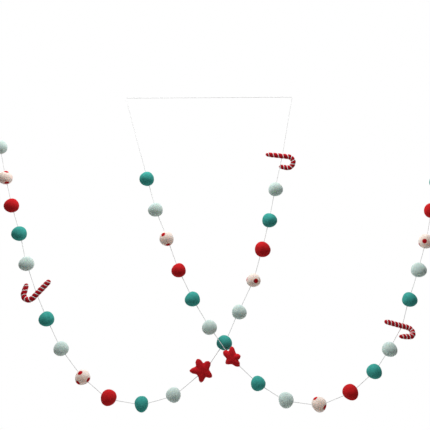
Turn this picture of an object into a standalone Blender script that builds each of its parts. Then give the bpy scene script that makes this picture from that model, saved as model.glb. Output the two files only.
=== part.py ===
"""Felt ball garland: balls, canes and stars of wool felt on one thin cotton string.

The garland hangs in two swags that cross. Its string starts in a small loop on the left,
runs down and up through the back swag, bends over a nail on the right, crosses to a nail
on the left, and goes through the front swag to a second small loop. X runs to the right,
Y away from the viewer and Z up. The origin is the left nail. Lengths are in metres; the
tables give millimetres, as a maker would measure them.
"""
import math
import random

import bmesh
import bpy
from mathutils import Matrix, Vector

MM = 0.001

# The string, and the straight hole that it leaves in each piece.
STRING_RADIUS = 0.5 * MM
BORE_RADIUS = 0.85 * MM
KINK_CLEARANCE = 0.3 * MM
NAIL_BEND_RADIUS = 2.0 * MM
NAIL_BEND_STEPS = 3

# The loops in which the string ends, and where they and the two nails are.
LOOP_RADIUS = 4.0 * MM
KNOT_RADIUS = 1.3 * MM
LEFT_LOOP_NAIL = Vector((-242, 0, 2)) * MM
RIGHT_NAIL = Vector((298, 0, 2)) * MM
LEFT_NAIL = Vector((0, 0, 0))
RIGHT_LOOP_NAIL = Vector((595, 0, 0)) * MM

# Felt balls are never quite round: low swells and dents cross each of them.
BALL_SIDES = 14
BALL_ARC_STEPS = 8
LUMP_HEIGHT = 0.018
LUMP_WAVES = 5

# The back swag, along the string: what each piece is, how far it hangs to the right of
# the left nail and below it, how far forward, and a ball's diameter, all in millimetres.
BACK_SWAG = (
    ("mint", -218, 94, 0, 25.5),
    ("white", -202, 151, 0, 24.0),
    ("red", -186, 201, 0, 24.5),
    ("teal", -168, 250, 0, 25.0),
    ("mint", -151, 301, 0, 24.5),
    ("cane", -129, 350, 0, 9.3),
    ("teal", -110, 390, 0, 24.5),
    ("mint", -83, 436, 0, 23.5),
    ("white", -46, 479, 0, 23.5),
    ("red", -4, 509, 0, 24.5),
    ("teal", 47, 518, 0, 22.5),
    ("mint", 96, 505, 0, 23.0),
    ("star", 141, 469, 0, 12.5),
    ("teal", 175, 427, 0, 24.5),
    ("mint", 199, 379, 0, 24.0),
    ("white", 223, 328, 0, 23.0),
    ("red", 239, 277, 0, 26.5),
    ("teal", 252, 227, 0, 25.0),
    ("mint", 264, 172, 0, 25.0),
    ("cane", 277, 111, 0, 8.6),
)

# The front swag, in the same way. It leans forward where it passes over the back swag.
FRONT_SWAG = (
    ("teal", 43, 155, 5, 25.0),
    ("mint", 60, 211, 9, 24.5),
    ("white", 80, 261, 12, 24.0),
    ("red", 101, 314, 14, 23.5),
    ("teal", 124, 360, 16, 24.0),
    ("mint", 151, 404, 17, 23.5),
    ("star", 187, 450, 17, 12.5),
    ("teal", 225, 487, 16, 22.5),
    ("mint", 267, 511, 15, 23.5),
    ("white", 317, 517, 14, 22.5),
    ("red", 366, 500, 12, 24.0),
    ("teal", 405, 470, 11, 23.0),
    ("mint", 432, 437, 10, 23.0),
    ("cane", 455, 401, 8, 8.5),
    ("teal", 472, 360, 7, 23.5),
    ("mint", 492, 312, 6, 24.5),
    ("white", 510, 264, 5, 25.0),
    ("red", 526, 211, 4, 26.0),
    ("teal", 540, 159, 3, 24.0),
)

# A threaded ball is a little shorter along its string. Two are plainly out of round. The
# shares are of the diameter: along the string, and across it in the swag's plane.
USUAL_SHARES = (0.97, 1.0)
UNROUND = {11: (0.93, 1.04), 23: (1.05, 0.96)}

# A needle never meets a ball's middle, and the ball turns its heavy side down. So its
# string passes a little above its middle.
STRING_LIFT = 1.2 * MM

# The canes. For each: the angle of its arm in the swag's plane, towards the hook; the
# side to which the hook turns (1 is anticlockwise); how far the hook is turned back (or,
# below zero, forward) about the arm; then in millimetres the arm before and after the
# string and the bend's radius; the bend's angle; in millimetres the tail after it. A thread
# is wound round the cane: first is where it first shows in front, and the two pitches are
# its spacing along the arm and along the hook. The tips' thickness is a share of the
# cane's. Angles are in degrees.
CANES = {
    6: {"arm": 228.6, "side": -1, "turn": 8, "before": 29.7, "after": 8.2, "bend": 9.6,
        "sweep": 149, "tail": 16.1, "first": 4.4, "arm_pitch": 6.4, "hook_pitch": 7.6,
        "tips": (0.9, 0.7)},
    20: {"arm": -6.4, "side": -1, "turn": 12, "before": 29.0, "after": 10.6, "bend": 9.8,
         "sweep": 184, "tail": 13.8, "first": 5.0, "arm_pitch": 8.5, "hook_pitch": 6.2,
         "tips": (0.65, 0.7)},
    34: {"arm": -14.9, "side": -1, "turn": -30, "before": 28.0, "after": 8.4, "bend": 8.5,
         "sweep": 164, "tail": 16.5, "first": 4.0, "arm_pitch": 5.8, "hook_pitch": 5.6,
         "tips": (0.8, 0.5)},
}
CANE_SIDES = 10
CANE_STEP = 1.6 * MM
THREAD_GROOVE = 0.10

# The stars. Each arm has an angle in degrees, and in millimetres its reach, half its width
# near the tip, and how far out the notch is between it and the next arm. Turn is how far
# the star is turned about its string, in degrees.
STARS = {
    13: {"turn": 8, "arms": ((118, 20.1, 4.7, 11.8), (55, 17.3, 4.9, 10.2), (-34, 17.3, 3.7, 11.0),
                             (-100, 18.0, 3.7, 10.6), (179, 21.0, 3.7, 13.3))},
    27: {"turn": 8, "arms": ((94, 17.9, 3.5, 9.2), (17, 12.9, 3.9, 9.3), (-51, 15.3, 4.3, 9.1),
                             (-143, 13.6, 3.4, 9.8), (145, 17.8, 4.3, 12.6))},
}
SHOULDER_SHARE = 0.86
OUTLINE_STEPS = 2
STAR_RINGS = (0.45, 0.74, 0.92, 1.0)

COLOURS = {
    "mint": (0.48, 0.62, 0.58, 1.0),
    "teal": (0.05, 0.33, 0.28, 1.0),
    "white": (0.80, 0.72, 0.66, 1.0),
    "red": (0.52, 0.01, 0.02, 1.0),
    "cane": (0.33, 0.003, 0.01, 1.0),
    "star": (0.50, 0.01, 0.02, 1.0),
    "string": (0.85, 0.84, 0.82, 1.0),
}


def clear_scene():
    """Remove every object that the file opened with."""
    for thing in list(bpy.data.objects):
        bpy.data.objects.remove(thing, do_unlink=True)


def felt(kind):
    """The material of one kind of piece, made once."""
    name = f"{kind}_cotton" if kind == "string" else f"{kind}_felt"
    found = bpy.data.materials.get(name)
    if found:
        return found
    material = bpy.data.materials.new(name)
    material.use_nodes = True
    shader = material.node_tree.nodes["Principled BSDF"]
    shader.inputs["Base Color"].default_value = COLOURS[kind]
    shader.inputs["Roughness"].default_value = 0.95
    shader.inputs["Metallic"].default_value = 0.0
    return material


def add_piece(name, bm, kind):
    """Turn a bmesh into a named object with its kind's material."""
    mesh = bpy.data.meshes.new(name)
    bmesh.ops.recalc_face_normals(bm, faces=bm.faces)
    bm.to_mesh(mesh)
    bm.free()
    mesh.materials.append(felt(kind))
    mesh.shade_smooth()
    mesh.set_sharp_from_angle(angle=math.radians(60))
    piece = bpy.data.objects.new(name, mesh)
    bpy.context.scene.collection.objects.link(piece)
    return piece


def place_of(row):
    """Where a row's piece hangs."""
    right, below, forward = row[1:4]
    return Vector((right, -forward, -below)) * MM


def garland_rows():
    """Every piece with its number on the string, its kind, place and size."""
    rows = BACK_SWAG + FRONT_SWAG
    return [(number, row[0], place_of(row), row[4] * MM) for number, row in enumerate(rows, start=1)]


def string_directions(rows):
    """The way the string runs through each piece: between its two neighbours."""
    last_of_back = len(BACK_SWAG) - 1
    directions = []
    for index, (number, kind, place, size) in enumerate(rows):
        before = rows[index - 1][2] if index else LEFT_LOOP_NAIL
        after = rows[index + 1][2] if index + 1 < len(rows) else RIGHT_LOOP_NAIL
        if index == last_of_back:
            after = RIGHT_NAIL
        if index == last_of_back + 1:
            before = LEFT_NAIL
        directions.append(((place - before).normalized() + (after - place).normalized()).normalized())
    return directions


def inner_side(direction):
    """Square to the string in the swag's plane, towards the inside of the swag."""
    return direction.cross(Vector((0, 1, 0))).normalized()


def threaded_rows(rows, directions):
    """The rows, with each ball's place moved to where the string passes through it."""
    threaded = []
    for (number, kind, place, size), direction in zip(rows, directions):
        lift = 0.0 if kind in ("cane", "star") else STRING_LIFT
        threaded.append((number, kind, place + inner_side(direction) * lift, size))
    return threaded


def lump_waves(number):
    """The few slow waves that make one ball's surface uneven."""
    rng = random.Random(number)
    waves = []
    for _ in range(LUMP_WAVES):
        axis = Vector((rng.uniform(-1, 1), rng.uniform(-1, 1), rng.uniform(-1, 1))).normalized()
        waves.append((axis, rng.uniform(2.0, 4.5), rng.uniform(0, math.tau)))
    return waves


def lump(direction, waves):
    """How far out the surface is in one direction, as a share of the radius."""
    total = sum(math.cos(count * direction.dot(axis) + phase) for axis, count, phase in waves)
    return 1 + LUMP_HEIGHT * total / math.sqrt(len(waves))


def uneven(number, point, waves, direction):
    """Where a point of a round ball lies on the real, uneven one, which hangs off centre."""
    along, across = UNROUND.get(number, USUAL_SHARES)
    inner = inner_side(direction)
    moved = point * lump(point.normalized(), waves)
    moved += direction * moved.dot(direction) * (along - 1)
    moved += inner * moved.dot(inner) * (across - 1)
    girth = 1 - point.normalized().dot(direction) ** 2
    return moved - inner * STRING_LIFT * girth


def turned_half_circle(bm, radius):
    """The closed profile of a pierced ball: its outer arc, and its hole's wall."""
    height = math.sqrt(radius * radius - BORE_RADIUS * BORE_RADIUS)
    start = math.asin(BORE_RADIUS / radius)
    span = math.pi - 2 * start
    corners = [bm.verts.new((BORE_RADIUS, 0, height))]
    for step in range(1, BALL_ARC_STEPS):
        angle = start + span * step / BALL_ARC_STEPS
        corners.append(bm.verts.new((radius * math.sin(angle), 0, radius * math.cos(angle))))
    corners.append(bm.verts.new((BORE_RADIUS, 0, -height)))
    edges = [bm.edges.new(pair) for pair in zip(corners, corners[1:] + corners[:1])]
    return corners + edges


def add_ball(number, kind, place, size, direction):
    """A lumpy pierced ball, with its string at the place given."""
    bm = bmesh.new()
    profile = turned_half_circle(bm, size / 2)
    bmesh.ops.spin(bm, geom=profile, cent=(0, 0, 0), axis=(0, 0, 1), angle=math.tau,
                   steps=BALL_SIDES, use_merge=True, use_duplicate=False)
    bmesh.ops.rotate(bm, verts=bm.verts, cent=(0, 0, 0),
                     matrix=direction.to_track_quat("Z", "Y").to_matrix())
    waves = lump_waves(number)
    for vert in bm.verts:
        vert.co = uneven(number, vert.co, waves, direction)
    bmesh.ops.translate(bm, verts=bm.verts, vec=place)
    add_piece(f"ball_{number:02d}_{kind}", bm, kind)
    mouths = (-direction * size / 2, direction * size / 2)
    return [uneven(number, mouth, waves, direction).length for mouth in mouths]


def cut_bore(piece, place, direction, length):
    """Cut the string's straight hole through a piece."""
    bm = bmesh.new()
    bmesh.ops.create_cone(bm, cap_ends=True, segments=8, radius1=BORE_RADIUS,
                          radius2=BORE_RADIUS, depth=length)
    turn = direction.to_track_quat("Z", "Y").to_matrix().to_4x4()
    bmesh.ops.transform(bm, matrix=Matrix.Translation(place) @ turn, verts=bm.verts)
    needle = add_piece(f"needle_{piece.name}", bm, "string")
    needle.hide_render = True
    needle.display_type = "WIRE"
    hole = piece.modifiers.new("bore", "BOOLEAN")
    hole.operation = "DIFFERENCE"
    hole.solver = "EXACT"
    hole.object = needle


def cane_line(cane, along):
    """A point of a cane's centre line and the way it runs there, in the cane's plane."""
    arm = (cane["before"] + cane["after"]) * MM
    radius = cane["bend"] * MM
    sweep = math.radians(cane["sweep"])
    after_string = cane["after"] * MM
    if along <= arm:
        return Vector((along - cane["before"] * MM, 0)), 0.0
    angle = min((along - arm) / radius, sweep)
    point = Vector((after_string + radius * math.sin(angle), radius * (1 - math.cos(angle))))
    rest = along - arm - angle * radius
    point += rest * Vector((math.cos(angle), math.sin(angle)))
    return point, angle


def cane_axes(cane):
    """The arm's direction, the hook's side and the cane's normal, in the garland's frame."""
    angle = math.radians(cane["arm"])
    arm = Vector((math.cos(angle), 0, math.sin(angle)))
    flat_side = cane["side"] * Vector((-math.sin(angle), 0, math.cos(angle)))
    turn = math.radians(cane["turn"])
    side = flat_side * math.cos(turn) + Vector((0, 1, 0)) * math.sin(turn)
    return arm, side, arm.cross(side)


def thread_turns(cane, along):
    """How many turns the thread has made since it first showed in front."""
    arm = (cane["before"] + cane["after"]) * MM
    on_arm = (min(along, arm) - cane["first"] * MM) / (cane["arm_pitch"] * MM)
    return on_arm + max(along - arm, 0) / (cane["hook_pitch"] * MM)


def cane_radius(cane, along, around, length, radius):
    """A cane's radius: rounded ends, a slimmer tip, and the groove of the wound thread."""
    from_end = min(along, length - along)
    rounded = math.sqrt(max(0.0, 1 - (1 - min(from_end / radius, 1)) ** 2))
    tip = cane["tips"][0] if along < length / 2 else cane["tips"][1]
    slimmer = tip + (1 - tip) * min(from_end / (2.5 * radius), 1) ** 0.6
    phase = math.tau * thread_turns(cane, along) + around + math.pi / 2
    groove = THREAD_GROOVE * (0.5 + 0.5 * math.cos(phase)) ** 3
    return radius * rounded * slimmer * (1 - groove)


def add_cane(number, place, size, direction):
    """A felted cane: a tube along an arm, a bend and a tail."""
    cane = CANES[number]
    radius = size / 2
    bend_length = cane["bend"] * math.radians(cane["sweep"])
    length = (cane["before"] + cane["after"] + bend_length + cane["tail"]) * MM
    steps = round(length / CANE_STEP)
    first = 0.12 * radius
    bm = bmesh.new()
    circle = bmesh.ops.create_circle(bm, segments=CANE_SIDES, radius=1, cap_ends=True)
    start = Matrix.Translation((0, 0, first))
    bmesh.ops.transform(bm, matrix=start, verts=circle["verts"])
    stations = [first, 0.45 * radius]
    stations += [length * step / steps for step in range(1, steps)]
    stations += [length - 0.45 * radius, length - first]
    stations.sort()
    end_cap = bm.faces[:][0]
    face = end_cap
    for low, high in zip(stations, stations[1:]):
        grown = bmesh.ops.extrude_face_region(bm, geom=[face])
        if face is not end_cap:
            bmesh.ops.delete(bm, geom=[face], context="FACES_ONLY")
        face = next(item for item in grown["geom"] if isinstance(item, bmesh.types.BMFace))
        bmesh.ops.translate(bm, verts=face.verts, vec=(0, 0, high - low))
    arm, side, normal = cane_axes(cane)
    for vert in bm.verts:
        along = vert.co.z
        around = math.atan2(vert.co.y, vert.co.x)
        middle, angle = cane_line(cane, along)
        outward = Vector((math.sin(angle), -math.cos(angle)))
        out = cane_radius(cane, along, around, length, radius)
        flat = middle + outward * out * math.cos(around)
        vert.co = place + arm * flat.x + side * flat.y + normal * out * math.sin(around)
    piece = add_piece(f"cane_{number:02d}", bm, "cane")
    cut_bore(piece, place, direction, 3 * size)
    across = radius / max(direction.cross(arm).length, 0.5)
    return [across, across]


def star_outline(star, steps):
    """The star's closed outline: a notch, two shoulders and a tip for each arm, smoothed."""
    arms = star["arms"]
    corners = []
    for index, (degrees, reach, half_width, notch) in enumerate(arms):
        angle = math.radians(degrees)
        following = math.radians(arms[(index + 1) % len(arms)][0])
        while following > angle:
            following -= math.tau
        shoulder = SHOULDER_SHARE * reach
        spread = math.atan2(half_width, shoulder)
        corners.append(Vector((math.cos(angle + spread), math.sin(angle + spread))) * shoulder)
        corners.append(Vector((math.cos(angle), math.sin(angle))) * reach)
        corners.append(Vector((math.cos(angle - spread), math.sin(angle - spread))) * shoulder)
        middle = (angle + following) / 2
        corners.append(Vector((math.cos(middle), math.sin(middle))) * notch)
    outline = []
    count = len(corners)
    for index in range(count):
        a, b, c, d = (corners[(index + shift) % count] for shift in (-1, 0, 1, 2))
        for step in range(steps):
            t = step / steps
            smooth = (2 * b + (c - a) * t + (2 * a - 5 * b + 4 * c - d) * t ** 2
                      + (3 * b - a - 3 * c + d) * t ** 3) / 2
            outline.append(smooth * MM)
    return outline


def star_axes(star, direction):
    """The star's plane: level, upright and normal, turned about its string."""
    turn = Matrix.Rotation(math.radians(star["turn"]), 3, direction)
    return turn @ Vector((1, 0, 0)), turn @ Vector((0, 0, 1)), turn @ Vector((0, -1, 0))


def star_mouth(outline, way):
    """How far the outline is from the star's middle, along one way in its plane."""
    for start, end in zip(outline, outline[1:] + outline[:1]):
        low = way.x * start.y - way.y * start.x
        high = way.x * end.y - way.y * end.x
        point = start.lerp(end, low / (low - high)) if low * high < 0 else start
        if low * high <= 0 and point.dot(way) > 0:
            return point.length
    return 0.0


def add_star(number, place, size, direction):
    """A puffy star: rings of its outline, rising to a crown on both faces."""
    star = STARS[number]
    outline = star_outline(star, OUTLINE_STEPS)
    level, upright, normal = star_axes(star, direction)
    bm = bmesh.new()
    for face_side in (-1, 1):
        crown = bm.verts.new(place + normal * face_side * size / 2)
        inner = None
        for share in STAR_RINGS:
            height = face_side * size / 2 * math.sqrt(max(0.0, 1 - share ** 2.6))
            ring = [bm.verts.new(place + level * point.x * share + upright * point.y * share
                                 + normal * height) for point in outline]
            following = ring[1:] + ring[:1]
            for index, (one, two) in enumerate(zip(ring, following)):
                if inner is None:
                    bm.faces.new((crown, one, two))
                else:
                    bm.faces.new((inner[index], one, two, inner[(index + 1) % len(ring)]))
            inner = ring
    bmesh.ops.remove_doubles(bm, verts=bm.verts, dist=0.01 * MM)
    piece = add_piece(f"star_{number:02d}", bm, "star")
    cut_bore(piece, place, direction, 4 * size)
    way = Vector((direction.dot(level), direction.dot(upright)))
    return [star_mouth(outline, -way), star_mouth(outline, way)]


def nail_bend(nail, arrive, leave):
    """Points of the small round bend of the string over a nail."""
    inward = (leave - arrive).normalized()
    half_turn = arrive.angle(leave) / 2
    centre = nail + inward * NAIL_BEND_RADIUS
    axis = arrive.cross(leave).normalized()
    points = []
    for step in range(NAIL_BEND_STEPS + 1):
        angle = -half_turn + 2 * half_turn * step / NAIL_BEND_STEPS
        points.append(centre + Matrix.Rotation(angle, 3, axis) @ (-inward * NAIL_BEND_RADIUS))
    return points


def add_string(rows, directions, reaches, start, end):
    """The one string: straight in each piece, kinked at its mouths, bent over the nails."""
    points = [start]
    for (number, kind, place, size), direction, (before, after) in zip(rows, directions, reaches):
        points.append(place - direction * (before + KINK_CLEARANCE))
        points.append(place + direction * (after + KINK_CLEARANCE))
        if number == len(BACK_SWAG):
            across = (LEFT_NAIL - RIGHT_NAIL).normalized()
            down = (rows[number][2] - LEFT_NAIL).normalized()
            points += nail_bend(RIGHT_NAIL, (RIGHT_NAIL - place).normalized(), across)
            points += nail_bend(LEFT_NAIL, across, down)
    points.append(end)
    curve = bpy.data.curves.new("string", "CURVE")
    curve.dimensions = "3D"
    curve.bevel_depth = STRING_RADIUS
    curve.bevel_resolution = 2
    curve.use_fill_caps = True
    spline = curve.splines.new("POLY")
    spline.points.add(len(points) - 1)
    for spot, point in zip(spline.points, points):
        spot.co = (*point, 1)
    curve.materials.append(felt("string"))
    string = bpy.data.objects.new("string", curve)
    bpy.context.scene.collection.objects.link(string)


def loop_knot(nail, towards):
    """The knot's middle, below the nail and towards the first piece, and that direction."""
    down = (towards - nail).normalized()
    return nail + down * (2 * LOOP_RADIUS), down


def add_end_loop(name, nail, towards):
    """A small hanging loop of string with its knot; returns where the long string starts."""
    knot, down = loop_knot(nail, towards)
    middle = nail + down * (LOOP_RADIUS - STRING_RADIUS)
    bm = bmesh.new()
    ring = bmesh.ops.create_circle(bm, segments=6, radius=STRING_RADIUS,
                                   matrix=Matrix.Translation((LOOP_RADIUS, 0, 0))
                                   @ Matrix.Rotation(math.pi / 2, 4, "X"))
    bmesh.ops.spin(bm, geom=ring["verts"] + bm.edges[:], cent=(0, 0, 0), axis=(0, 0, 1),
                   angle=math.tau, steps=16, use_merge=True, use_duplicate=False)
    bmesh.ops.rotate(bm, verts=bm.verts, cent=(0, 0, 0), matrix=Matrix.Rotation(math.pi / 2, 3, "X"))
    bmesh.ops.translate(bm, verts=bm.verts, vec=middle)
    loop = add_piece(name, bm, "string")
    bm = bmesh.new()
    bmesh.ops.create_icosphere(bm, subdivisions=1, radius=KNOT_RADIUS, matrix=Matrix.Translation(knot))
    lump_of_string = add_piece(f"knot_{name}", bm, "string")
    lump_of_string.hide_render = True
    lump_of_string.display_type = "WIRE"
    tie = loop.modifiers.new("knot", "BOOLEAN")
    tie.operation = "UNION"
    tie.solver = "EXACT"
    tie.object = lump_of_string
    return knot + down * (KNOT_RADIUS + KINK_CLEARANCE)


def build():
    """Make every piece of the garland."""
    clear_scene()
    directions = string_directions(garland_rows())
    rows = threaded_rows(garland_rows(), directions)
    reaches = []
    for (number, kind, place, size), direction in zip(rows, directions):
        if kind == "cane":
            reaches.append(add_cane(number, place, size, direction))
        elif kind == "star":
            reaches.append(add_star(number, place, size, direction))
        else:
            reaches.append(add_ball(number, kind, place, size, direction))
    start = add_end_loop("end_loop_left", LEFT_LOOP_NAIL, rows[0][2])
    end = add_end_loop("end_loop_right", RIGHT_LOOP_NAIL, rows[-1][2])
    add_string(rows, directions, reaches, start, end)


build()
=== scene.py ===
# %% [markdown]
# # A felt ball garland
#
# The garland is a thin cotton string with felted wool balls, small wound canes and puffy
# stars threaded on it. It hangs from four nails in two swags that cross. This lesson
# dresses the plain solids of the construction model: each solid keeps its place and size,
# and a finer mesh with a wool or cotton finish takes its place.
#
# ## Load the frame
#
# The construction model comes first, because every piece takes its place from it. Its box
# is kept, and the lamp and the floor are placed from it.

# %% Load the frame
import math
import random

import bmesh
import bpy
from mathutils import Matrix, Vector, noise


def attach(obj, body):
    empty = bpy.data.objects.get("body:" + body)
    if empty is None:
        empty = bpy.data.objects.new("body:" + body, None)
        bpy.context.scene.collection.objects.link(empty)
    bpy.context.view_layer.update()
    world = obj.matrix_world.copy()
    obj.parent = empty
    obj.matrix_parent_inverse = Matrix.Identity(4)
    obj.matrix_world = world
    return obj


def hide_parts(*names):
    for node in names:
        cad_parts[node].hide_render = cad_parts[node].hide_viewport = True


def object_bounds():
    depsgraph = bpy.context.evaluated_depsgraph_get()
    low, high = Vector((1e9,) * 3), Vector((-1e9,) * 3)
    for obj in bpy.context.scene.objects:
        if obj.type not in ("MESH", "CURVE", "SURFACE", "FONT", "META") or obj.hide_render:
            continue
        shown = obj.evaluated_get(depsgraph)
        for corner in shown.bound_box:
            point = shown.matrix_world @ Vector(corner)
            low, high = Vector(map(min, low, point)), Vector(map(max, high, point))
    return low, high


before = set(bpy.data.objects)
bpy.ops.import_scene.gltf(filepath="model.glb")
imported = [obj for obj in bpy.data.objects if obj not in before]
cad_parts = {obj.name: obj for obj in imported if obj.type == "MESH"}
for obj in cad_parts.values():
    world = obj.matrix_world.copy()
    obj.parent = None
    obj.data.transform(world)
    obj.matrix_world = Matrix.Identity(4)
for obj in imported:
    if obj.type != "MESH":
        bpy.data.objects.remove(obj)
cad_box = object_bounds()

MM = 0.001
print("solids in the frame:", len(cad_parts))

# %% [markdown]
# ## Camera
#
# The photograph looks slightly up at the garland: the balls near its lower edge are a
# little larger than those near its top. A camera tilted up by fifteen degrees, with a
# focal length of 500 pixels over a frame of 430, gives the same sizes. The point at which
# its axis meets the garland's plane lies to the right of the left nail and below it.

# %% Camera
FRAME_PIXELS = 430
FOCAL_PIXELS = 500
CAMERA_TILT = math.radians(15)
CAMERA_DISTANCE = 0.845
AIM = Vector((0.1599, 0.0, -0.2175))
SENSOR_WIDTH = 36


def put_in_scene(name, data):
    """A new object of the scene, made from a mesh, a lamp or a camera."""
    thing = bpy.data.objects.new(name, data)
    bpy.context.scene.collection.objects.link(thing)
    return thing


camera_data = bpy.data.cameras.new("camera")
camera_data.sensor_width = SENSOR_WIDTH
camera_data.lens = SENSOR_WIDTH * FOCAL_PIXELS / FRAME_PIXELS
camera = put_in_scene("camera", camera_data)
sight = Vector((0, math.cos(CAMERA_TILT), math.sin(CAMERA_TILT)))
camera.location = AIM - sight * CAMERA_DISTANCE
camera.rotation_euler = (math.pi / 2 + CAMERA_TILT, 0, 0)
bpy.context.scene.camera = camera
print("camera at", [round(x, 3) for x in camera.location])

# %% [markdown]
# ## Where each piece hangs
#
# A garland is described along its string. Each row says what a piece is, how far it hangs
# to the right of the left nail, below it and forward of it, and how thick it is, all in
# millimetres. The two tables repeat those of the construction model, so the string can
# follow the same route. A needle never meets a ball's middle, and the ball turns its heavy
# side down, so the string passes a little above the middle.

# %% The two swags
BACK_SWAG = (
    ("mint", -218, 94, 0, 25.5),
    ("white", -202, 151, 0, 24.0),
    ("red", -186, 201, 0, 24.5),
    ("teal", -168, 250, 0, 25.0),
    ("mint", -151, 301, 0, 24.5),
    ("cane", -129, 350, 0, 9.3),
    ("teal", -110, 390, 0, 24.5),
    ("mint", -83, 436, 0, 23.5),
    ("white", -46, 479, 0, 23.5),
    ("red", -4, 509, 0, 24.5),
    ("teal", 47, 518, 0, 22.5),
    ("mint", 96, 505, 0, 23.0),
    ("star", 141, 469, 0, 12.5),
    ("teal", 175, 427, 0, 24.5),
    ("mint", 199, 379, 0, 24.0),
    ("white", 223, 328, 0, 23.0),
    ("red", 239, 277, 0, 26.5),
    ("teal", 252, 227, 0, 25.0),
    ("mint", 264, 172, 0, 25.0),
    ("cane", 277, 111, 0, 8.6),
)
FRONT_SWAG = (
    ("teal", 43, 155, 5, 25.0),
    ("mint", 60, 211, 9, 24.5),
    ("white", 80, 261, 12, 24.0),
    ("red", 101, 314, 14, 23.5),
    ("teal", 124, 360, 16, 24.0),
    ("mint", 151, 404, 17, 23.5),
    ("star", 187, 450, 17, 12.5),
    ("teal", 225, 487, 16, 22.5),
    ("mint", 267, 511, 15, 23.5),
    ("white", 317, 517, 14, 22.5),
    ("red", 366, 500, 12, 24.0),
    ("teal", 405, 470, 11, 23.0),
    ("mint", 432, 437, 10, 23.0),
    ("cane", 455, 401, 8, 8.5),
    ("teal", 472, 360, 7, 23.5),
    ("mint", 492, 312, 6, 24.5),
    ("white", 510, 264, 5, 25.0),
    ("red", 526, 211, 4, 26.0),
    ("teal", 540, 159, 3, 24.0),
)
LEFT_LOOP_NAIL = Vector((-242, 0, 2)) * MM
RIGHT_NAIL = Vector((298, 0, 2)) * MM
LEFT_NAIL = Vector((0, 0, 0))
RIGHT_LOOP_NAIL = Vector((595, 0, 0)) * MM
STRING_LIFT = 1.2 * MM


def garland_rows():
    """Number, kind, place and size of each piece, from the string's left end."""
    return [(number, kind, Vector((right, -forward, -below)) * MM, size * MM)
            for number, (kind, right, below, forward, size)
            in enumerate(BACK_SWAG + FRONT_SWAG, start=1)]


def string_directions(rows):
    """The way the string runs through each piece: between its two neighbours."""
    last_of_back = len(BACK_SWAG) - 1
    directions = []
    for index, row in enumerate(rows):
        place = row[2]
        before = rows[index - 1][2] if index else LEFT_LOOP_NAIL
        after = rows[index + 1][2] if index + 1 < len(rows) else RIGHT_LOOP_NAIL
        if index == last_of_back:
            after = RIGHT_NAIL
        if index == last_of_back + 1:
            before = LEFT_NAIL
        arrive = (place - before).normalized()
        leave = (after - place).normalized()
        directions.append((arrive + leave).normalized())
    return directions


def inner_side(direction):
    """Square to the string in the swag's plane, towards the inside of the swag."""
    return direction.cross(Vector((0, 1, 0))).normalized()


def threaded_rows(rows, directions):
    """The rows, with each ball's place moved to where the string passes through it."""
    threaded = []
    for (number, kind, place, size), direction in zip(rows, directions):
        lift = 0.0 if kind in ("cane", "star") else STRING_LIFT
        threaded.append((number, kind, place + inner_side(direction) * lift, size))
    return threaded


directions = string_directions(garland_rows())
rows = threaded_rows(garland_rows(), directions)
print("pieces on the string:", len(rows))

# %% [markdown]
# ## Shapes that the construction model and the looks share
#
# Three shapes decide where the string enters and leaves a piece: the lumpy ball, the cane
# and the star. They follow the same few rules as the construction solids, only with finer
# steps. A hand-rolled ball is never quite round, so a handful of slow waves swell and dent
# it. Each ball's waves come from its own number, so they are the same on every run.

# %% Lumpy balls
LUMP_HEIGHT = 0.018
LUMP_WAVES = 5
USUAL_SHARES = (0.97, 1.0)
UNROUND = {11: (0.93, 1.04), 23: (1.05, 0.96)}


def lump_waves(number):
    """The slow waves of one ball: an axis, a count and a phase for each."""
    rng = random.Random(number)
    waves = []
    for _ in range(LUMP_WAVES):
        axis = Vector((rng.uniform(-1, 1), rng.uniform(-1, 1), rng.uniform(-1, 1))).normalized()
        waves.append((axis, rng.uniform(2.0, 4.5), rng.uniform(0, math.tau)))
    return waves


def lump(way, waves):
    """How far out the surface is in one direction, as a share of the radius."""
    total = sum(math.cos(count * way.dot(axis) + phase) for axis, count, phase in waves)
    return 1 + LUMP_HEIGHT * total / math.sqrt(len(waves))


def ball_point(number, way, size, waves, direction):
    """A point of a ball's slow shape, from where the string passes through it."""
    along, across = UNROUND.get(number, USUAL_SHARES)
    inner = inner_side(direction)
    point = way * size / 2 * lump(way, waves)
    point += direction * point.dot(direction) * (along - 1)
    point += inner * point.dot(inner) * (across - 1)
    return point - inner * STRING_LIFT * (1 - way.dot(direction) ** 2)


def ball_mouths(number, size, direction):
    """Where the string enters and leaves a ball, from where it passes through it."""
    waves = lump_waves(number)
    return [ball_point(number, way, size, waves, direction) for way in (-direction, direction)]


print("swell of ball 1 at its top:", round(lump(Vector((0, 0, 1)), lump_waves(1)), 4))

# %% [markdown]
# A cane is a straight arm, a round bend and a short tail. Its centre line is worked out
# from those lengths, in the cane's own plane, and then turned about the arm.

# %% Canes
CANES = {
    6: {"arm": 228.6, "side": -1, "turn": 8, "before": 29.7, "after": 8.2, "bend": 9.6,
        "sweep": 149, "tail": 16.1, "first": 4.4, "arm_pitch": 6.4, "hook_pitch": 7.6,
        "tips": (0.9, 0.7)},
    20: {"arm": -6.4, "side": -1, "turn": 12, "before": 29.0, "after": 10.6, "bend": 9.8,
         "sweep": 184, "tail": 13.8, "first": 5.0, "arm_pitch": 8.5, "hook_pitch": 6.2,
         "tips": (0.65, 0.7)},
    34: {"arm": -14.9, "side": -1, "turn": -30, "before": 28.0, "after": 8.4, "bend": 8.5,
         "sweep": 164, "tail": 16.5, "first": 4.0, "arm_pitch": 5.8, "hook_pitch": 5.6,
         "tips": (0.8, 0.5)},
}
TIP_REACH = 2.5
TIP_FULLNESS = 0.6


def cane_length(cane):
    """The whole length of a cane's centre line."""
    bend = cane["bend"] * math.radians(cane["sweep"])
    return (cane["before"] + cane["after"] + bend + cane["tail"]) * MM


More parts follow.
